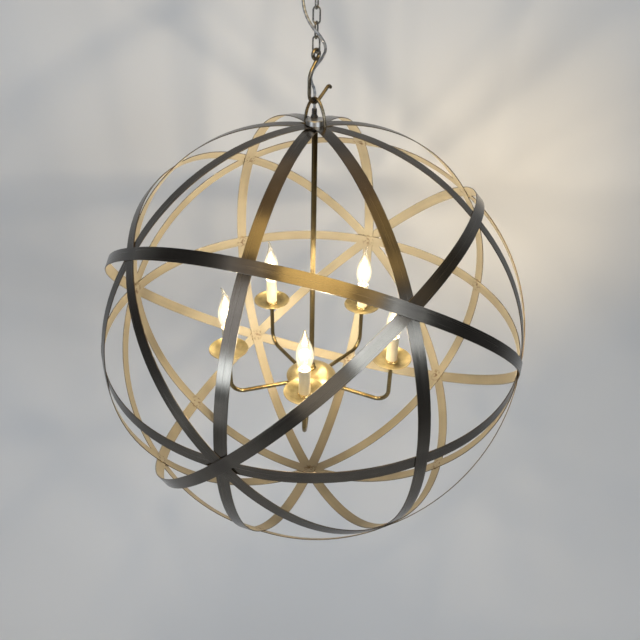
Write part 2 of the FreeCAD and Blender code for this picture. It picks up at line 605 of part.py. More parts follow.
# ---- the nodes -----------------------------------------------------------------------------------
def build():
    pieces = {
        "ceiling_canopy": canopy(),
        "mounting_crossbar": crossbar(),
        "crossbar_nut": hex_nut(NUT_SIZE, NUT_HEIGHT, PIPE + PIPE_CLEARANCE,
                                CEILING - CROSSBAR[2] - NUT_HEIGHT),
        "mounting_pipe": lamp_pipe(CEILING - CANOPY_DEPTH - 6.0, CEILING - 0.5),
        "canopy_loop": canopy_loop(),
        "cord_bushing": cord_bushing(),
        "power_cord": cord(cord_route(), CORD_RADIUS),
        "hook": hook(),
        "hanging_bail": bail(),
        "top_hub": top_hub(),
        "strain_relief": strain_relief(),
        "rod_lock_nut": hex_nut(NUT_SIZE, NUT_HEIGHT, PIPE + PIPE_CLEARANCE, CAGE_INNER - NUT_HEIGHT),
        "weld_tacks": weld_tacks(),
        "centre_rod": lamp_pipe(DOME_RIM + 4.0, CAGE_TOP + HUB_DISC_HEIGHT - HUB_DISC_ROOF - 0.2),
        "rod_collar": rod_collar(),
        "collar_set_screw": set_screw(),
        "hub_dome": hub_dome(),
        "hub_body": hub_body(),
        "hub_base_plate": base_plate(),
        "hub_bottom_knob": bottom_knob(),
        "candle_cups": round_candles(candle_cup()),
        "drip_pans": round_candles(drip_pan()),
        "candle_sleeves": round_candles(candle_sleeve()),
        "candle_sockets": round_candles(candle_socket()),
        "bulb_bases": round_candles(bulb_base()),
        "bulb_glass": round_candles(bulb_glass()),
    }
    for number in range(1, LINK_COUNT + 1):
        pieces["chain_link_%d" % number] = chain_link(number)
    for number in range(ARM_COUNT):
        pieces["arm_%d" % (number + 1)] = arm(number)
    for name in HOOPS:
        pieces[name] = hoop(name)
    return pieces


os.makedirs("parts", exist_ok=True)
for piece_name, piece in build().items():
    piece.translate(V(0, 0, level(0)))
    piece.exportStep("parts/%s.step" % piece_name)
print("orb centre", round(level(0), 2), "top of cage", round(level(CAGE_TOP), 2))
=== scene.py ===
"""Orb chandelier, dressed: nine band hoops, a candle cluster and the hanging gear, in metres.

As in the CAD frame, the origin is the centre of the canopy's ceiling face, and +Z is up.
"""
import bpy
import json
import math
from mathutils import Matrix, Vector

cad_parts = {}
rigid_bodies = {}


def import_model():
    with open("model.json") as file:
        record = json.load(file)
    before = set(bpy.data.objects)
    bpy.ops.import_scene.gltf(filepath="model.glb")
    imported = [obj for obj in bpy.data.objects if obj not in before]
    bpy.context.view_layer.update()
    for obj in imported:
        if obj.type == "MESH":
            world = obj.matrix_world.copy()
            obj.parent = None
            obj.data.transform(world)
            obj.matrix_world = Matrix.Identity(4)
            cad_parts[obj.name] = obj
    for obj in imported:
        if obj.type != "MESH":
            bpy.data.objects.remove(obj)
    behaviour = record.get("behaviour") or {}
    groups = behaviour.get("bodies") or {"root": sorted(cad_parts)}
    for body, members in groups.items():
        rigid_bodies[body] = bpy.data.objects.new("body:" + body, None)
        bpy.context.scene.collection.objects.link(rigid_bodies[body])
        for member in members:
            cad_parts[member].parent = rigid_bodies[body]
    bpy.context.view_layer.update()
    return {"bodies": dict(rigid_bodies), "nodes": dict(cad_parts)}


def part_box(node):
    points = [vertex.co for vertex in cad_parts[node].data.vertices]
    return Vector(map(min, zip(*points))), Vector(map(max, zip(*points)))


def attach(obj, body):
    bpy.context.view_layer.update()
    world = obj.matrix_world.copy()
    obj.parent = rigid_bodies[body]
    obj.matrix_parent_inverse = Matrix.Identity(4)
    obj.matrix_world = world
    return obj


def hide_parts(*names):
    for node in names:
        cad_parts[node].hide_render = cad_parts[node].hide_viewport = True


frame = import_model()
UP = Vector((0, 0, 1))
MM = 0.001

# ---- places and sizes
HOOP_NORMALS = {
    "hoop_meridian_x": (1, 0, 0),
    "hoop_meridian_y": (0, 1, 0),
    "hoop_equator": (0, 0, 1),
    "hoop_upright_right": (1, -1, 0),
    "hoop_upright_left": (1, 1, 0),
    "hoop_slanted_right": (1, 0, -1),
    "hoop_slanted_left": (1, 0, 1),
    "hoop_tilted_front": (0, 1, 1),
    "hoop_tilted_back": (0, 1, -1),
}


def middle_of(node):
    low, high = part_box(node)
    return (Vector(low) + Vector(high)) / 2


CENTRE = middle_of("hoop_equator")
HOOP_RADIUS = 0.38
HOOP_EASING = 0.28 * MM
TACK_LENGTH = 5.05 * MM  # the longest edge of a tack, with a little to spare
BEAD_SINK = 0.15 * MM
CANDLE_RING = 0.158
FIRST_CANDLE = math.radians(-74.5)
CANDLE_COUNT = 5
PAN_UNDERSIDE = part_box("drip_pans")[0][2]
PAN_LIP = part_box("drip_pans")[1][2]
PAN_THICK = 1.0 * MM
PAN_TOP = PAN_UNDERSIDE + PAN_THICK
PAN_MEAN_RADIUS = 0.02
PAN_EASING = 0.3 * MM
SLEEVE_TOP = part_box("candle_sleeves")[1][2]
BULB_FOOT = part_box("bulb_glass")[0][2]
BULB_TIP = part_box("bulb_glass")[1][2]
BULB_WALL = 0.7 * MM
LEAD_FOOT = BULB_FOOT + 16 * MM
LEAD_LENGTH = 20 * MM
LEAD_RADIUS = 0.3 * MM
LEAD_LEAN = math.radians(14)
LEAD_OFFSET = 1.0 * MM
FILAMENT_HEIGHT = BULB_FOOT + 35.4 * MM
FILAMENT_REACH = 5.8 * MM
FILAMENT_RADIUS = 0.42 * MM
CORD_DIAMETER = 4.5 * MM
CORD_ROUTE = [  # the body that each point moves with, and its place at rest
    ("orb", (-0.0039, 0.0073, -0.2394)),
    ("orb", (-0.0039, 0.0073, -0.2294)),
    ("orb", (-0.0060, 0.0145, -0.2134)),
    ("hanging_hook", (-0.0120, 0.0090, -0.1979)),
    ("hanging_hook", (-0.0085, 0.0090, -0.1824)),
    ("hanging_hook", (0.0030, 0.0160, -0.1674)),
    ("hanging_hook", (0.0135, 0.0090, -0.1514)),
    ("chain_link_5", (0.0120, -0.0070, -0.1334)),
    ("chain_link_4", (-0.0020, -0.0145, -0.1174)),
    ("chain_link_3", (-0.0150, -0.0110, -0.0984)),
    ("chain_link_1", (-0.0210, -0.0030, -0.0744)),
    ("ceiling_mount", (-0.0210, 0.0, -0.0484)),
    ("ceiling_mount", (-0.0210, 0.0, -0.0280)),
]

CAMERA_PLACE = (0.3522, -0.9916, 0.0744)
CAMERA_AZIMUTH = math.radians(18.75)
CAMERA_ELEVATION = math.radians(33.79)
CAMERA_ROLL = math.radians(-1.31)
CAMERA_LENS = 38.19
FLOOR_HEIGHT = -1.95
FLOOR_REACH = 5
WALL_DISTANCE = 0.85
WALL_HEIGHT = 4.5
SWEEP_RADIUS = 0.9
FILL_HEIGHTS = (-1.9, -1.1)
FILL_GLOW = 0.055
# painted pool of warm lamp light on the wall: its middle, the reach over which it fades, and its
# glow
PAINTED_POOL_MIDDLE = (0.257, 0.985, -0.78)
PAINTED_POOL_REACH = (0.04, 0.70)
PAINTED_POOL_GLOW = 0.30

STUDIO_DISTANCE = 2
CANDLE_WATTS = 2.6
CANDLE_COLOUR = (1.0, 0.855, 0.63)
CANDLE_LIGHT_RADIUS = 0.010
CANDLE_LIGHT_HEIGHT = BULB_FOOT + 0.034
STRIP_LIGHTS = [
    # name, ends as (azimuth, elevation), breadth in degrees, distance, radiance, colour
    ("softbox_front", (-32, 7), (-14, 7), 12, 3.0, 12.2, (0.78, 0.89, 1.0)),
    ("softbox_front_high", (-36, 30), (-19, 30), 34, 3.0, 3.1, (0.92, 0.94, 1.0)),
    ("softbox_front_low", (-35, -13), (-16, -13), 14, 3.0, 1.4, (0.86, 0.93, 1.0)),
    ("softbox_middle", (14, -1), (38, 11), 14, 3.0, 1.6, (1.0, 0.93, 0.82)),
    ("softbox_right", (41, 15), (70, 25), 16, 2.6, 9.8, (0.80, 0.90, 1.0)),
    ("softbox_right_far", (80, 33), (98, 44), 14, 2.6, 0.4, (1.0, 0.80, 0.50)),
    ("softbox_warm", (-42, 61), (66, 43), 18, 1.3, 3.6, (1.0, 0.66, 0.20)),
    ("softbox_warm_core", (-6, 57), (46, 51), 9, 1.3, 12.0, (1.0, 0.69, 0.24)),
    ("softbox_warm_far", (98, 50), (126, 58), 14, 1.3, 2.6, (1.0, 0.70, 0.22)),
    ("ceiling_glow", (-100, 60), (100, 60), 50, 1.6, 0.55, (1.0, 0.62, 0.24)),
]

MIX_INPUTS = (0, 6, 7)  # of a Mix node that mixes colours: the amount, the first and the second
MIX_RESULT = 2
NOISE_RANGE = (0.3, 0.7)  # where most of a noise's values lie
SHARP = math.radians(50)
SQUARE_ON = 0.8  # a face's lean from a hoop's flat, as a cosine, past which it counts as an edge


# ---- making and shaping meshes
def only(obj):
    """Selects this object alone and makes it active."""
    bpy.ops.object.select_all(action="DESELECT")
    obj.select_set(True)
    bpy.context.view_layer.objects.active = obj


def all_of_it(obj, *steps):
    """Runs edit-mode operators on the whole mesh of an object."""
    only(obj)
    bpy.ops.object.mode_set(mode="EDIT")
    bpy.ops.mesh.select_all(action="SELECT")
    for step, settings in steps:
        step(**settings)
    bpy.ops.object.mode_set(mode="OBJECT")


def finished(obj, name, angle=35):
    """Names a piece, puts its place into its mesh, and shades it smooth up to an angle."""
    obj.name = obj.data.name = name
    only(obj)
    bpy.ops.object.transform_apply(location=True, rotation=True, scale=True)
    bpy.ops.object.shade_smooth_by_angle(angle=math.radians(angle))
    return obj


def modified(obj, kind, **settings):
    """Adds a modifier and applies it."""
    only(obj)
    modifier = obj.modifiers.new(kind.lower(), kind)
    for name, value in settings.items():
        setattr(modifier, name, value)
    bpy.ops.object.modifier_apply(modifier=modifier.name)


def smoothed(obj):
    modified(obj, "SUBSURF", levels=1, render_levels=1)


def eased(obj, width, segments):
    """Rounds off the sharp edges of a piece."""
    modified(obj, "BEVEL", width=width, segments=segments, limit_method="ANGLE", angle_limit=SHARP)


def lathe(rings, sides, close_start=True, close_end=True):
    """A turned shape about Z: a circle, extruded ring by ring through (radius, height).

    A third number in a ring is how far it stands off the axis along X. With its start closed, the
    shape is closed at both ends.
    """
    bpy.ops.object.select_all(action="DESELECT")
    radius, height = rings[0][:2]
    bpy.ops.mesh.primitive_circle_add(vertices=sides, radius=radius)
    obj = bpy.context.object
    bpy.ops.object.mode_set(mode="EDIT")
    bpy.ops.mesh.select_all(action="SELECT")
    bpy.ops.transform.translate(value=(0, 0, height))
    if close_start:
        bpy.ops.mesh.edge_face_add()
    side = 0
    for ring in rings[1:]:
        to_side = ring[2] if len(ring) > 2 else 0
        move = (to_side - side, 0, ring[1] - height)
        bpy.ops.mesh.extrude_region_move(TRANSFORM_OT_translate={"value": move})
        factor = ring[0] / radius
        bpy.ops.transform.resize(value=(factor, factor, 1), center_override=(to_side, 0, 0))
        radius, height, side = ring[0], ring[1], to_side
    if close_end and not close_start:
        bpy.ops.mesh.edge_face_add()
    bpy.ops.mesh.select_all(action="SELECT")
    bpy.ops.mesh.normals_make_consistent(inside=False)
    bpy.ops.object.mode_set(mode="OBJECT")
    return obj


def copied(obj, places, name):
    """One object made of copies of a shape at the given matrices. The shape itself goes."""
    copies = []
    for place in places:
        copy = obj.copy()
        copy.data = obj.data.copy()
        copy.matrix_world = place
        bpy.context.collection.objects.link(copy)
        copies.append(copy)
    bpy.data.objects.remove(obj)
    only(copies[0])
    for copy in copies:
        copy.select_set(True)
    bpy.ops.object.transform_apply(location=True, rotation=True, scale=True)
    bpy.ops.object.join()
    return finished(bpy.context.object, name)


def candle_places():
    """Where each candle's axis stands, turned so that +X points away from the rod."""
    places = []
    for i in range(CANDLE_COUNT):
        turn = Matrix.Rotation(FIRST_CANDLE + 2 * math.pi * i / CANDLE_COUNT, 4, "Z")
        places.append(turn @ Matrix.Translation((CANDLE_RING, 0, 0)))
    return places


def joined_copy(node, name):
    """A copy of a CAD node's mesh, with its loose triangles joined up and paired."""
    copy = bpy.data.objects.new(name, frame["nodes"][node].data.copy())
    bpy.context.collection.objects.link(copy)
    copy.data.materials.clear()
    all_of_it(copy, (bpy.ops.mesh.remove_doubles, {"threshold": 0.002 * MM}),
              (bpy.ops.mesh.tris_convert_to_quads,
               {"face_threshold": 0.02, "shape_threshold": math.pi}))
    return copy


def islands(mesh):
    """The separate lumps of a mesh, as lists of vertex numbers."""
    root = list(range(len(mesh.vertices)))

    def top(i):
        while root[i] != i:
            root[i] = root[root[i]]
            i = root[i]
        return i

    for edge in mesh.edges:
        a, b = edge.vertices
        root[top(a)] = top(b)
    groups = {}
    for i in range(len(root)):
        groups.setdefault(top(i), []).append(i)
    return list(groups.values())


def wrap(obj, axis, middle, radius):
    """UVs in metres round an axis: along the round in U, and across it in V."""
    axis = Vector(axis).normalized()
    side = axis.orthogonal().normalized()
    other = axis.cross(side)
    mesh = obj.data
    layer = mesh.uv_layers.get("around") or mesh.uv_layers.new(name="around")

    def angle(point):
        out = point - middle
        return math.atan2(out.dot(other), out.dot(side))

    for face in mesh.polygons:
        about = angle(face.center)
        for corner in face.loop_indices:
            point = mesh.vertices[mesh.loops[corner].vertex_index].co
            here = angle(point)
            here += 2 * math.pi * round((about - here) / (2 * math.pi))
            out = point - middle
            rise = out.dot(axis)
            reach = (out - axis * rise).length
            layer.data[corner].uv = (here * radius, rise + reach)


# ---- making materials
def join(made, value, socket):
    if isinstance(value, bpy.types.NodeSocket):
        made.node_tree.links.new(value, socket)
    else:
        socket.default_value = value


def add(made, kind, inputs=None, **settings):
    """A node of a material, with its settings, and its inputs set or linked."""
    node = made.node_tree.nodes.new(kind)
    for name, value in settings.items():
        setattr(node, name, value)
    for socket, value in (inputs or {}).items():
        join(made, value, node.inputs[socket])
    return node


def shader_of(made):
    return made.node_tree.nodes["Principled BSDF"]


def finish_named(name, **sockets):
    """A new material whose shader has these values, with spaces in a socket's name written as _."""
    made = bpy.data.materials.new(name)
    made.use_nodes = True
    for socket, value in sockets.items():
        shader_of(made).inputs[socket.replace("_", " ")].default_value = value
    return made


def grain(made, coordinates, scale, detail=3.0, rough=0.55):
    """Noise with its own scale along each axis of the coordinates."""
    mapped = add(made, "ShaderNodeMapping", {"Vector": coordinates, "Scale": scale})
    noise = add(made, "ShaderNodeTexNoise", {"Vector": mapped.outputs["Vector"], "Scale": 1.0,
                                             "Detail": detail, "Roughness": rough})
    return noise.outputs["Fac"]


def ramp(made, value, *stops):
    """A colour ramp through (place, colour) stops."""
    node = add(made, "ShaderNodeValToRGB", {"Fac": value})
    elements = node.color_ramp.elements
    while len(elements) < len(stops):
        elements.new(0.5)
    for element, (place, colour) in zip(elements, stops):
        element.position = place
        element.color = (*colour, 1)
    return node.outputs["Color"]


def spread(made, value, low, high):
    """A noise's value, stretched to run from low to high."""
    inputs = {"Value": value, "From Min": NOISE_RANGE[0], "From Max": NOISE_RANGE[1],
              "To Min": low, "To Max": high}
    return add(made, "ShaderNodeMapRange", inputs).outputs["Result"]


def blended(made, amount, first, second, blend_type="MIX"):
    """Two colours, mixed or multiplied, by an amount from 0 to 1."""
    node = add(made, "ShaderNodeMix", data_type="RGBA", blend_type=blend_type)
    for socket, value in zip(MIX_INPUTS, (amount, first, second)):
        join(made, value, node.inputs[socket])
    return node.outputs[MIX_RESULT]


def bumped(made, height, strength, depth):
    node = add(made, "ShaderNodeBump", {"Height": height, "Strength": strength, "Distance": depth})
    join(made, node.outputs["Normal"], shader_of(made).inputs["Normal"])


def brushed_round(made):
    """Draws the shader's highlights out round the piece, as its UVs run."""
    tangent = add(made, "ShaderNodeTangent", direction_type="UV_MAP", uv_map="around")
    join(made, tangent.outputs[0], shader_of(made).inputs["Tangent"])


def place_of(made, kind="Object"):
    return add(made, "ShaderNodeTexCoord").outputs[kind]


def maths(made, operation, a, b=0.0):
    node = add(made, "ShaderNodeMath", operation=operation)
    join(made, a, node.inputs[0])
    join(made, b, node.inputs[1])
    return node.outputs[0]


def near_crossing(made, coordinates, reach):
    """1 at the bands' crossings, falling to 0 at this many degrees from one.

    Folded into one eighth of the sphere, all 26 lie on a cube's axes and diagonals.
    """
    moved = add(made, "ShaderNodeMapping", {"Vector": coordinates, "Location": -CENTRE})
    away = add(made, "ShaderNodeVectorMath", {0: moved.outputs[0]}, operation="NORMALIZE")
    folded = add(made, "ShaderNodeVectorMath", {0: away.outputs[0]}, operation="ABSOLUTE")
    x, y, z = add(made, "ShaderNodeSeparateXYZ", {0: folded.outputs[0]}).outputs
    most = maths(made, "MAXIMUM", maths(made, "MAXIMUM", x, y), z)
    least = maths(made, "MINIMUM", maths(made, "MINIMUM", x, y), z)
    total = maths(made, "ADD", maths(made, "ADD", x, y), z)
    pair = maths(made, "MULTIPLY", maths(made, "SUBTRACT", total, least), 1 / math.sqrt(2))
    three = maths(made, "MULTIPLY", total, 1 / math.sqrt(3))
    nearest = maths(made, "MAXIMUM", maths(made, "MAXIMUM", most, pair), three)
    limits = {"Value": nearest, "From Min": math.cos(math.radians(reach)), "From Max": 1.0}
    return add(made, "ShaderNodeMapRange", limits).outputs["Result"]


def bronze_band():
    """Outside of a hoop: dark bronze, brushed along the strip, with cloudy patches."""
    made = finish_named("bronze_band", Metallic=1.0, Anisotropic=0.6, Anisotropic_Rotation=0.25)
    shader = shader_of(made)
    uv, here = place_of(made, "UV"), place_of(made)
    lines = grain(made, uv, (9, 1400, 1))
    streaks = grain(made, uv, (4, 230, 1))
    clouds = grain(made, here, (11, 11, 11), 4.0)
    base = ramp(made, clouds, (0.3, (0.080, 0.071, 0.060)), (0.7, (0.135, 0.121, 0.103)))
    light = ramp(made, streaks, (0.3, (0.085, 0.075, 0.063)), (0.75, (0.170, 0.153, 0.131)))
    colour = blended(made, 0.2, base, light)
    scorch = maths(made, "MULTIPLY", near_crossing(made, here, 3.2), 0.45)
    join(made, blended(made, scorch, colour, (0.050, 0.044, 0.040, 1)), shader.inputs["Base Color"])
    join(made, spread(made, streaks, 0.22, 0.29), shader.inputs["Roughness"])
    brushed_round(made)
    bumped(made, lines, 0.12, 0.10 * MM)
    return made


def gilt_band():
    """Inside of a hoop: champagne gold, with scorched spots where the bands are welded."""
    made = finish_named("gilt_band", Metallic=0.88)
    shader = shader_of(made)
    uv, here = place_of(made, "UV"), place_of(made)
    lines = grain(made, uv, (12, 1100, 1))
    streaks = grain(made, uv, (5, 160, 1))
    clouds = grain(made, here, (14, 14, 14), 5.0)
    base = ramp(made, clouds, (0.3, (0.228, 0.193, 0.134)), (0.7, (0.306, 0.268, 0.193)))
    light = ramp(made, streaks, (0.3, (0.214, 0.182, 0.126)), (0.7, (0.328, 0.287, 0.207)))
    colour = blended(made, 0.4, base, light)
    specks = grain(made, here, (160, 160, 160), 2.0)
    spots = ramp(made, specks, (0.48, (0, 0, 0)), (0.62, (1, 1, 1)))
    scorch = maths(made, "MULTIPLY", near_crossing(made, here, 2.4), spots)
    join(made, blended(made, scorch, colour, (0.10, 0.060, 0.028, 1)), shader.inputs["Base Color"])
    join(made, spread(made, streaks, 0.50, 0.62), shader.inputs["Roughness"])
    bumped(made, lines, 0.18, 0.12 * MM)
    return made


def worn_edge():
    """Sawn edge of a hoop, rubbed back to warm metal."""
    made = finish_named("worn_edge", Metallic=0.9)
    shader = shader_of(made)
    rub = grain(made, place_of(made, "UV"), (30, 300, 1), 4.0)
    colour = ramp(made, rub, (0.35, (0.060, 0.050, 0.040)), (0.65, (0.17, 0.130, 0.085)))
    join(made, colour, shader.inputs["Base Color"])
    join(made, spread(made, rub, 0.30, 0.45), shader.inputs["Roughness"])
    bumped(made, rub, 0.15, 0.1 * MM)
    return made


def aged_metal(name, dark, bright, roughness, scale, stretch=1.0):
    """Satin metal with a cloudy colour and fine marks, which run along Z when stretched."""
    made = finish_named(name, Metallic=1.0)
    shader = shader_of(made)
    here = place_of(made)
    clouds = grain(made, here, (scale, scale, scale / stretch), 5.0, 0.6)
    marks = grain(made, here, (scale * 30, scale * 30, scale * 30 / (stretch * 4)), 3.0)
    join(made, ramp(made, clouds, (0.3, dark), (0.7, bright)), shader.inputs["Base Color"])
    join(made, spread(made, marks, roughness - 0.05, roughness + 0.08), shader.inputs["Roughness"])
    bumped(made, marks, 0.12, 0.06 * MM)
    return made


def rod_brass():
    """Brass of the rod: darker towards the top, under the cap, and plainer lower down."""
    made = aged_metal("rod_brass", (0.13, 0.094, 0.040), (0.31, 0.240, 0.115), 0.20, 28,
                      stretch=3.0)
    shader = shader_of(made)
    rod_colour = shader.inputs["Base Color"].links[0].from_socket
    height = add(made, "ShaderNodeSeparateXYZ", {0: place_of(made)}).outputs["Z"]
    low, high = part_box("centre_rod")[0][2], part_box("centre_rod")[1][2]
    share = add(made, "ShaderNodeMapRange", {"Value": height, "From Min": low, "From Max": high})
    # the rod's colour turns darker towards its top
    darker_to_top = ramp(made, share.outputs["Result"], (0.45, (1.0, 1.0, 1.0)), (0.95, (0.22, 0.20, 0.18)))
    join(made, blended(made, 1.0, rod_colour, darker_to_top, "MULTIPLY"), shader.inputs["Base Color"])
    return made


def spun_pan():
    """Antique brass of the drip pans, with fine rings from spinning and darker patches of age."""
    made = finish_named("spun_pan", Metallic=0.9, Anisotropic=0.55, Anisotropic_Rotation=0.25)
    shader = shader_of(made)
    uv, here = place_of(made, "UV"), place_of(made)
    rings = grain(made, uv, (3, 1800, 1))
    clouds = grain(made, here, (45, 45, 45), 4.0, 0.6)
    base = ramp(made, clouds, (0.3, (0.140, 0.107, 0.045)), (0.7, (0.36, 0.292, 0.144)))
    join(made, base, shader.inputs["Base Color"])
    join(made, spread(made, rings, 0.27, 0.42), shader.inputs["Roughness"])
    brushed_round(made)
    bumped(made, rings, 0.2, 0.08 * MM)
    return made


def ivory_sleeve():
    """Candle sleeve: satin ivory with a faint waxy unevenness."""
    made = finish_named("ivory_sleeve", Subsurface_Weight=0.25,
                        Subsurface_Radius=(0.01, 0.006, 0.003))
    shader = shader_of(made)
    here = place_of(made)
    clouds = grain(made, here, (60, 60, 25), 3.0)
    colour = ramp(made, clouds, (0.3, (0.42, 0.368, 0.262)), (0.7, (0.56, 0.50, 0.37)))
    join(made, colour, shader.inputs["Base Color"])
    join(made, spread(made, clouds, 0.35, 0.5), shader.inputs["Roughness"])
    bumped(made, clouds, 0.2, 0.3 * MM)
    return made


def lit_glass():
    """Clear bulb glass, white with glow where it is seen square on, and clear at rim and tip."""
    made = finish_named("lit_glass", Base_Color=(1.0, 0.97, 0.90, 1), Transmission_Weight=1.0,
                        Roughness=0.02, IOR=1.46)
    shader = shader_of(made)
    here = place_of(made)
    height = add(made, "ShaderNodeSeparateXYZ", {0: here}).outputs["Z"]
    share = add(made, "ShaderNodeMapRange",
                {"Value": height, "From Min": BULB_FOOT, "From Max": BULB_TIP})
    along = ramp(made, share.outputs["Result"], (0.02, (0.35, 0.35, 0.35)), (0.20, (1.0, 1.0, 1.0)),
                 (0.50, (1.0, 1.0, 1.0)), (0.72, (0.22, 0.22, 0.22)), (0.92, (0.03, 0.03, 0.03)))
    rim = add(made, "ShaderNodeLayerWeight", {"Blend": 0.5}).outputs["Facing"]
    glow = ramp(made, rim, (0.0, (1.0, 0.93, 0.74)), (0.32, (0.95, 0.82, 0.54)),
                (0.62, (0.24, 0.17, 0.065)), (1.0, (0.04, 0.026, 0.010)))
    join(made, glow, shader.inputs["Emission Color"])
    join(made, maths(made, "MULTIPLY", along, 0.32), shader.inputs["Emission Strength"])
    ripple = grain(made, here, (70, 70, 70), 1.0)
    bumped(made, ripple, 0.05, 0.3 * MM)
    return made


def glowing_wire():
    made = finish_named("glowing_wire", Base_Color=(0.2, 0.15, 0.1, 1), Emission_Strength=14.0)
    shader = shader_of(made)
    waver = grain(made, place_of(made), (300, 300, 300), 1.0)
    colour = ramp(made, waver, (0.3, (1.0, 0.72, 0.36)), (0.7, (1.0, 0.82, 0.50)))
    join(made, colour, shader.inputs["Emission Color"])
    return made


def clouded_plastic(name, dark, bright, roughness, **sockets):
    made = finish_named(name, **sockets)
    shader = shader_of(made)
    clouds = grain(made, place_of(made), (120, 120, 120), 4.0)
    join(made, ramp(made, clouds, (0.3, dark), (0.7, bright)), shader.inputs["Base Color"])
    join(made, spread(made, clouds, roughness - 0.06, roughness + 0.06), shader.inputs["Roughness"])
    bumped(made, clouds, 0.15, 0.05 * MM)
    return made


def cord_jacket():
    """Clear silver-grey jacket, with strands that show through it as a faint twist."""
    made = finish_named("cord_jacket", Metallic=0.2, Coat_Weight=0.4, Coat_Roughness=0.2)
    shader = shader_of(made)
    lean = {"Vector": place_of(made), "Rotation": (0.5, 0.35, 0.0)}
    turned = add(made, "ShaderNodeMapping", lean).outputs[0]
    waves = {"Vector": turned, "Scale": 42.0, "Distortion": 1.2, "Detail": 1.0}
    twist = add(made, "ShaderNodeTexWave", waves, bands_direction="Z").outputs["Fac"]
    colour = ramp(made, twist, (0.15, (0.195, 0.195, 0.20)), (0.85, (0.225, 0.225, 0.23)))
    join(made, colour, shader.inputs["Base Color"])
    join(made, spread(made, twist, 0.24, 0.30), shader.inputs["Roughness"])
    bumped(made, twist, 0.03, 0.03 * MM)
    return made


BRONZE_BAND, GILT_BAND, WORN_EDGE = bronze_band(), gilt_band(), worn_edge()
DARK_BRONZE = aged_metal("dark_bronze", (0.085, 0.073, 0.054), (0.230, 0.192, 0.135), 0.26, 60)
CHAIN_STEEL = aged_metal("chain_steel", (0.085, 0.080, 0.074), (0.220, 0.208, 0.190), 0.26, 80)
CAP_STEEL = aged_metal("cap_steel", (0.42, 0.42, 0.41), (0.60, 0.595, 0.58), 0.34, 70)
ANTIQUE_BRASS = aged_metal("antique_brass", (0.130, 0.094, 0.041), (0.32, 0.248, 0.120), 0.19, 28,
                           stretch=3.0)
HUB_BRASS = aged_metal("hub_brass", (0.35, 0.277, 0.136), (0.56, 0.455, 0.240), 0.30, 30)
WELD_METAL = aged_metal("weld_metal", (0.06, 0.042, 0.026), (0.30, 0.22, 0.12), 0.42, 150)
PLATED_BRASS = aged_metal("plated_brass", (0.60, 0.47, 0.23), (0.78, 0.64, 0.36), 0.22, 60)
LEAD_WIRE = aged_metal("lead_wire", (0.40, 0.39, 0.37), (0.62, 0.60, 0.57), 0.3, 200)
SPUN_PAN, IVORY, LIT_GLASS, GLOWING = spun_pan(), ivory_sleeve(), lit_glass(), glowing_wire()
BLACK_PLASTIC = clouded_plastic("black_plastic", (0.006, 0.006, 0.006), (0.016, 0.016, 0.016), 0.36)
CLEAR_STEM = clouded_plastic("clear_stem", (0.86, 0.84, 0.78), (0.95, 0.93, 0.88), 0.12,
                             Transmission_Weight=1.0, IOR=1.46)
CORD_JACKET = cord_jacket()


# ---- camera, lights and stage
def camera():
    back = Vector((math.sin(CAMERA_AZIMUTH) * math.cos(CAMERA_ELEVATION),
                   -math.cos(CAMERA_AZIMUTH) * math.cos(CAMERA_ELEVATION),
                   math.sin(CAMERA_ELEVATION)))
    right = Vector((math.cos(CAMERA_AZIMUTH), math.sin(CAMERA_AZIMUTH), 0))
    upright = Matrix([right, back.cross(right), back]).transposed()
    data = bpy.data.cameras.new("camera")
    data.lens = CAMERA_LENS
    obj = bpy.data.objects.new("camera", data)
    roll = Matrix.Rotation(-CAMERA_ROLL, 3, "Z")
    obj.matrix_world = Matrix.Translation(CAMERA_PLACE) @ (upright @ roll).to_4x4()
    bpy.context.collection.objects.link(obj)
    bpy.context.scene.camera = obj


def cord():
    """The supply cord, from the strain relief past the hook and round the chain to the canopy.

    Its points follow the bodies beside them, so that it bends with the chain.
    """
    data = bpy.data.curves.new("supply_cord", "CURVE")
    data.dimensions = "3D"
    data.bevel_depth = 1.0  # so that a point's radius is the cord's own
    data.bevel_resolution = 4
    data.resolution_u = 12
    line = data.splines.new("NURBS")
    line.points.add(len(CORD_ROUTE) - 1)
    for point, (_, place) in zip(line.points, CORD_ROUTE):
        point.co = (*place, 1)
        point.radius = CORD_DIAMETER / 2
    line.order_u = 3
    line.use_endpoint_u = True
    obj = bpy.data.objects.new("supply_cord", data)
    bpy.context.collection.objects.link(obj)
    data.materials.append(CORD_JACKET)
    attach(obj, "ceiling_mount")
    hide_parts("power_cord")
    for body in dict.fromkeys(body for body, _ in CORD_ROUTE):
        if body != "ceiling_mount":
            follow = obj.modifiers.new("follow_" + body, "HOOK")
            follow.object = frame["bodies"][body]
            carried = [i for i, (carrier, _) in enumerate(CORD_ROUTE) if carrier == body]
            follow.vertex_indices_set(carried)


def toward(azimuth, elevation):
    """Unit vector to a direction given as the camera's is, in degrees."""
    a, e = math.radians(azimuth), math.radians(elevation)
    return Vector((math.sin(a) * math.cos(e), -math.cos(a) * math.cos(e), math.sin(e)))


def softbox(name, left, right, breadth, distance, radiance, colour):
    """A strip light that faces the middle of the orb, and runs from one direction to another.

    Nearer than STUDIO_DISTANCE it only shows as a reflection in metal, and leaves the wall alone.
    """
    left, right = toward(*left), toward(*right)
    out = (left + right).normalized()
    along = (right - left).normalized()
    data = bpy.data.lights.new(name, "AREA")
    data.shape = "RECTANGLE"
    data.size = 2 * distance * math.tan(left.angle(right) / 2)
    data.size_y = 2 * distance * math.tan(math.radians(breadth) / 2)
    data.energy = radiance * math.pi * data.size * data.size_y
    data.color = colour
    obj = bpy.data.objects.new(name, data)
    turn = Matrix([along, out.cross(along), out]).transposed().to_4x4()
    obj.matrix_world = Matrix.Translation(CENTRE + out * distance) @ turn
    obj.visible_diffuse = distance > STUDIO_DISTANCE
    bpy.context.collection.objects.link(obj)


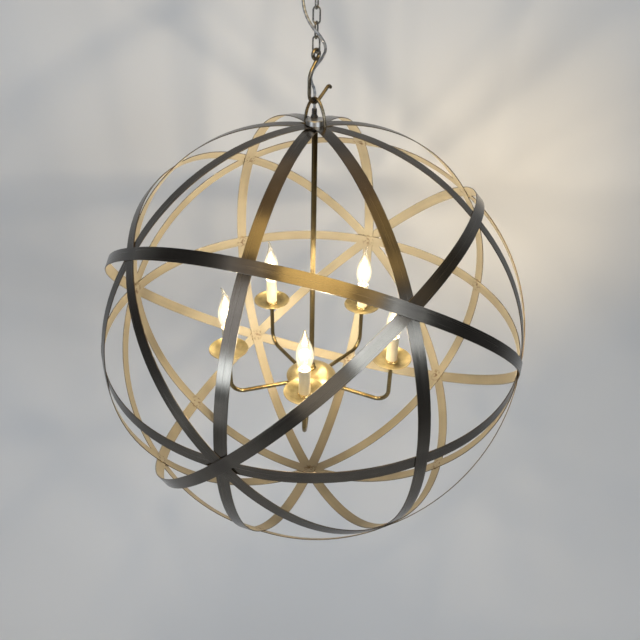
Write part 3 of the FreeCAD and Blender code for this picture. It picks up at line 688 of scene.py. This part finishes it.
def lights():
    for strip in STRIP_LIGHTS:
        softbox(*strip)
    world = bpy.data.worlds.new("studio_air")
    bpy.context.scene.world = world
    world.use_nodes = True
    background = world.node_tree.nodes["Background"]
    background.inputs["Color"].default_value = (0.12, 0.125, 0.132, 1)
    background.inputs["Strength"].default_value = 1.0
    for i, place in enumerate(candle_places()):
        data = bpy.data.lights.new("candle_light_%d" % (i + 1), "POINT")
        data.energy = CANDLE_WATTS
        data.color = CANDLE_COLOUR
        data.shadow_soft_size = CANDLE_LIGHT_RADIUS
        obj = bpy.data.objects.new(data.name, data)
        obj.location = place.translation + UP * CANDLE_LIGHT_HEIGHT
        bpy.context.collection.objects.link(obj)
        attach(obj, "orb")


def fading(made, value, limits, most, curve):
    """This much at the first limit of a value, falling to nothing at the second."""
    inputs = {"Value": value, "From Min": limits[0], "From Max": limits[1], "To Min": most,
              "To Max": 0.0}
    return add(made, "ShaderNodeMapRange", inputs, interpolation_type=curve).outputs["Result"]


def pale_wall():
    """Pale wall with a painted warm pool of lamp light. A view from behind looks straight through
    it.
    """
    made = finish_named("pale_wall", Roughness=0.9)
    shader = shader_of(made)
    here = place_of(made)
    tone = grain(made, here, (1.2, 1.2, 1.2), 2.0)
    colour = ramp(made, tone, (0.3, (0.592, 0.580, 0.570)), (0.7, (0.640, 0.628, 0.618)))
    join(made, colour, shader.inputs["Base Color"])
    path = add(made, "ShaderNodeLightPath").outputs
    direct = maths(made, "MAXIMUM", path["Is Camera Ray"], path["Is Glossy Ray"])
    seen = maths(made, "MAXIMUM", direct, path["Is Transmission Ray"])
    height = add(made, "ShaderNodeSeparateXYZ", {0: here}).outputs["Z"]
    fill = fading(made, height, FILL_HEIGHTS, FILL_GLOW, "LINEAR")
    # painted light: a warm glow round a point on the wall, in place of lamp light falling there
    apart = add(made, "ShaderNodeVectorMath", {0: here, 1: PAINTED_POOL_MIDDLE}, operation="DISTANCE")
    painted_pool = fading(made, apart.outputs["Value"], PAINTED_POOL_REACH, PAINTED_POOL_GLOW, "SMOOTHSTEP")
    surface = shader.outputs[0]
    for colour, amount in (((0.96, 0.98, 1.0, 1), fill), ((1.0, 0.76, 0.42, 1), painted_pool)):
        glow = add(made, "ShaderNodeEmission", {"Color": colour})
        join(made, maths(made, "MULTIPLY", seen, amount), glow.inputs["Strength"])
        surface = add(made, "ShaderNodeAddShader", {0: surface, 1: glow.outputs[0]}).outputs[0]
    rear = add(made, "ShaderNodeNewGeometry").outputs["Backfacing"]
    behind = maths(made, "MULTIPLY", rear, path["Is Camera Ray"])
    clear = add(made, "ShaderNodeBsdfTransparent").outputs[0]
    surface = add(made, "ShaderNodeMixShader", {0: behind, 1: surface, 2: clear}).outputs[0]
    join(made, surface, made.node_tree.nodes["Material Output"].inputs["Surface"])
    return made


def select_edges(obj, chosen):
    """Selects the edges with both ends at places that pass a test."""
    for edge in obj.data.edges:
        edge.select = all(chosen(obj.data.vertices[i].co) for i in edge.vertices)


def stage():
    """Floor and back wall in one sweep, square to the camera."""
    bpy.ops.object.select_all(action="DESELECT")
    bpy.ops.mesh.primitive_plane_add(size=2, location=(0, 0, 0))
    obj = bpy.context.object
    for vertex in obj.data.vertices:
        vertex.co.x *= FLOOR_REACH
        vertex.co.y = WALL_DISTANCE if vertex.co.y > 0 else -FLOOR_REACH
    bpy.ops.object.mode_set(mode="EDIT")
    bpy.ops.mesh.select_all(action="DESELECT")
    bpy.ops.object.mode_set(mode="OBJECT")
    select_edges(obj, lambda place: place.y > 0)
    bpy.ops.object.mode_set(mode="EDIT")
    bpy.ops.mesh.select_mode(type="EDGE")
    bpy.ops.mesh.extrude_region_move(TRANSFORM_OT_translate={"value": (0, 0, WALL_HEIGHT)})
    bpy.ops.object.mode_set(mode="OBJECT")
    select_edges(obj, lambda place: place.y > 0 and place.z < WALL_HEIGHT / 2)
    bpy.ops.object.mode_set(mode="EDIT")
    bpy.ops.mesh.bevel(offset=SWEEP_RADIUS, segments=24)
    bpy.ops.object.mode_set(mode="OBJECT")
    obj.rotation_euler = (0, 0, CAMERA_AZIMUTH)
    obj.location = (0, 0, FLOOR_HEIGHT)
    finished(obj, "studio_sweep", 40)
    obj.data.materials.append(pale_wall())


# ---- the cage
def hoop(node):
    """A hoop with eased edges: bronze outside, gilt inside and rubbed metal on the edges."""
    name = node.replace("hoop", "band")
    piece = joined_copy(node, name)
    eased(piece, HOOP_EASING, 2)
    for made in (BRONZE_BAND, GILT_BAND, WORN_EDGE):
        piece.data.materials.append(made)
    for face in piece.data.polygons:
        facing = face.normal.dot((face.center - CENTRE).normalized())
        face.material_index = 0 if facing > SQUARE_ON else 1 if facing < -SQUARE_ON else 2
    finished(piece, name, 20)
    wrap(piece, HOOP_NORMALS[node], CENTRE, HOOP_RADIUS)
    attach(piece, "orb")
    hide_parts(node)


def weld_beads():
    """A rippled bead along each tack between two bands."""
    beads = joined_copy("weld_tacks", "weld_guide")
    places = []
    for lump in islands(beads.data):
        points = [beads.data.vertices[i].co for i in lump]
        middle = sum(points, Vector()) / len(points)
        spans = [b - a for a in points for b in points]
        along = max(spans, key=lambda v: v.length if v.length < TACK_LENGTH else 0).normalized()
        out = (middle - CENTRE).normalized()
        out = (out - along * out.dot(along)).normalized()
        turn = Matrix([out, along.cross(out), along]).transposed().to_4x4()
        places.append(Matrix.Translation(middle - out * BEAD_SINK) @ turn)
    bpy.data.objects.remove(beads)
    rings = [(0.35, -3.1), (0.95, -2.7), (1.3, -2.0), (1.12, -1.4), (1.38, -0.7), (1.15, 0.0),
             (1.36, 0.7), (1.1, 1.4), (1.25, 2.1), (0.85, 2.8), (0.3, 3.2)]
    bead = lathe([(radius * MM, height * MM) for radius, height in rings], 8)
    flatter = {"value": (0.8, 1, 1), "center_override": (0, 0, 0)}
    all_of_it(bead, (bpy.ops.transform.resize, flatter))
    piece = copied(bead, places, "weld_beads")
    piece.data.materials.append(WELD_METAL)
    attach(piece, "orb")
    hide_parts("weld_tacks")


# ---- candles
def on_candles(shape, name, made, slot, *replaced):
    """Copies a shape under all candles as one piece with its finish."""
    piece = copied(shape, candle_places(), name)
    piece.data.materials.clear()
    piece.data.materials.append(made)
    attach(piece, "orb")
    if replaced:
        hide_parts(*replaced)
    return piece


def drip_pans():
    """Thin spun dishes with a raised, rounded rim and a shallow step round the sleeve."""
    rise = PAN_LIP - PAN_UNDERSIDE
    profile = [(4.3, 1.0), (13.2, 1.0), (13.9, 1.25), (14.8, 1.05), (17.0, 1.05), (22.0, 1.5),
               (27.0, 2.6), (31.5, 4.4), (34.8, rise / MM - 0.5), (35.9, rise / MM)]
    pan = lathe([(radius * MM, height * MM) for radius, height in profile], 96, False, False)
    downward = 1.0 if pan.data.polygons[0].normal.z < 0 else -1.0
    modified(pan, "SOLIDIFY", thickness=PAN_THICK, offset=downward)
    eased(pan, PAN_EASING, 3)
    smoothed(pan)
    wrap(pan, UP, Vector(), PAN_MEAN_RADIUS)
    all_of_it(pan, (bpy.ops.transform.translate, {"value": (0, 0, PAN_UNDERSIDE)}))
    on_candles(pan, "drip_pan_dishes", SPUN_PAN, "antique_brass", "drip_pans")


def sleeve_seats():
    """Low turned ring that holds the foot of each sleeve."""
    rings = [(10.2, 0.2), (11.6, 0.2), (11.9, 0.6), (11.9, 1.4), (11.4, 1.9), (11.0, 2.4),
             (11.0, 3.4), (11.2, 3.8), (11.0, 4.3), (10.2, 4.3)]
    rings = [(radius * MM, PAN_TOP + height * MM) for radius, height in rings]
    ring = lathe(rings, 48, False, False)
    smoothed(ring)
    on_candles(ring, "sleeve_seat_rings", PLATED_BRASS, "antique_brass")


def sleeves():
    """Hollow candle sleeves with a rounded top lip."""
    length = (SLEEVE_TOP - PAN_TOP) / MM
    rings = [(9.0, length), (9.0, 0.5), (9.2, 0.1), (9.6, 0), (10.0, 0.15), (10.15, 0.7),
             (10.17, 9), (10.13, 20), (10.15, 36), (10.15, length)]
    rings = [(radius * MM, SLEEVE_TOP - depth * MM) for radius, depth in rings]
    sleeve = lathe(rings, 48, False, False)
    smoothed(sleeve)
    on_candles(sleeve, "ivory_candle_sleeves", IVORY, "ivory_sleeve", "candle_sleeves")


def bulbs():
    """Thin glass envelopes, each over a stem, two lead wires and an arched filament."""
    profile = [(6.3, 0, 0), (6.5, 1.2, 0), (8.6, 5.0, 0), (11.4, 11.0, 0), (13.9, 18.5, 0),
               (15.2, 26.0, 0), (15.3, 33.0, 0), (14.2, 41.0, 0), (12.0, 49.0, 0), (9.4, 57.0, 0),
               (6.9, 64.5, 0.2), (4.8, 71.0, 0.8), (3.2, 77.0, 2.0), (2.1, 82.0, 3.8),
               (1.5, 85.5, 5.6), (0.7, 87.6, 6.8)]
    envelope = lathe([(radius * MM, BULB_FOOT + height * MM, to_side * MM)
                      for radius, height, to_side in profile], 40, False)
    smoothed(envelope)
    modified(envelope, "SOLIDIFY", thickness=BULB_WALL, offset=-1.0)
    envelope = on_candles(envelope, "bulb_envelopes", LIT_GLASS, "bulb_glass", "bulb_glass")
    envelope.visible_shadow = False
    rings = [(5.0, 1.0), (4.2, 4.0), (2.4, 8.0), (1.8, 14.0), (2.2, 17.0), (1.2, 19.0)]
    stem = lathe([(radius * MM, BULB_FOOT + height * MM) for radius, height in rings], 20)
    smoothed(stem)
    stem = on_candles(stem, "bulb_stems", CLEAR_STEM, "bulb_glass")
    stem.visible_shadow = False
    wire = lathe([(LEAD_RADIUS, share * LEAD_LENGTH) for share in (0, 0.5, 1)], 8)
    places = []
    for side in (-1, 1):
        lean = Matrix.Rotation(side * LEAD_LEAN, 4, "Y")
        places.append(Matrix.Translation((side * LEAD_OFFSET, 0, LEAD_FOOT)) @ lean)
    on_candles(copied(wire, places, "lead_pair"), "bulb_lead_wires", LEAD_WIRE, "steel")
    bpy.ops.object.select_all(action="DESELECT")
    bpy.ops.mesh.primitive_circle_add(vertices=8, radius=FILAMENT_RADIUS,
                                      location=(FILAMENT_REACH, 0, FILAMENT_HEIGHT))
    filament = bpy.context.object
    only(filament)
    bpy.ops.object.transform_apply(location=True, rotation=True, scale=True)
    bpy.ops.object.mode_set(mode="EDIT")
    bpy.ops.mesh.select_all(action="SELECT")
    bpy.ops.mesh.spin(steps=24, angle=math.pi, center=(0, 0, FILAMENT_HEIGHT), axis=(0, 1, 0))
    bpy.ops.mesh.select_all(action="SELECT")
    bpy.ops.mesh.normals_make_consistent(inside=False)
    bpy.ops.object.mode_set(mode="OBJECT")
    filament = on_candles(filament, "bulb_filaments", GLOWING, "bulb_glass")
    filament.visible_shadow = False


# ---- CAD pieces that keep their shape
def dressed():
    """Finishes for the CAD nodes that stay."""
    finishes = {
        DARK_BRONZE: ["hook", "hanging_bail", "ceiling_canopy", "canopy_loop"],
        CHAIN_STEEL: ["chain_link_%d" % i for i in range(1, 6)],
        CAP_STEEL: ["top_hub", "rod_lock_nut", "mounting_crossbar", "crossbar_nut",
                    "mounting_pipe"],
        rod_brass(): ["centre_rod"],
        ANTIQUE_BRASS: ["rod_collar", "candle_cups"] + ["arm_%d" % i for i in range(1, 6)],
        HUB_BRASS: ["hub_dome", "hub_body", "hub_base_plate", "hub_bottom_knob"],
        PLATED_BRASS: ["bulb_bases"],
        BLACK_PLASTIC: ["strain_relief", "cord_bushing", "candle_sockets", "collar_set_screw"],
    }
    for made, nodes in finishes.items():
        for node in nodes:
            obj = frame["nodes"][node]
            obj.data.materials.clear()
            obj.data.materials.append(made)


bpy.context.scene.view_settings.view_transform = "Standard"
camera()
cord()
lights()
stage()
dressed()
for hoop_node in sorted(HOOP_NORMALS):
    hoop(hoop_node)
weld_beads()
drip_pans()
sleeve_seats()
sleeves()
bulbs()
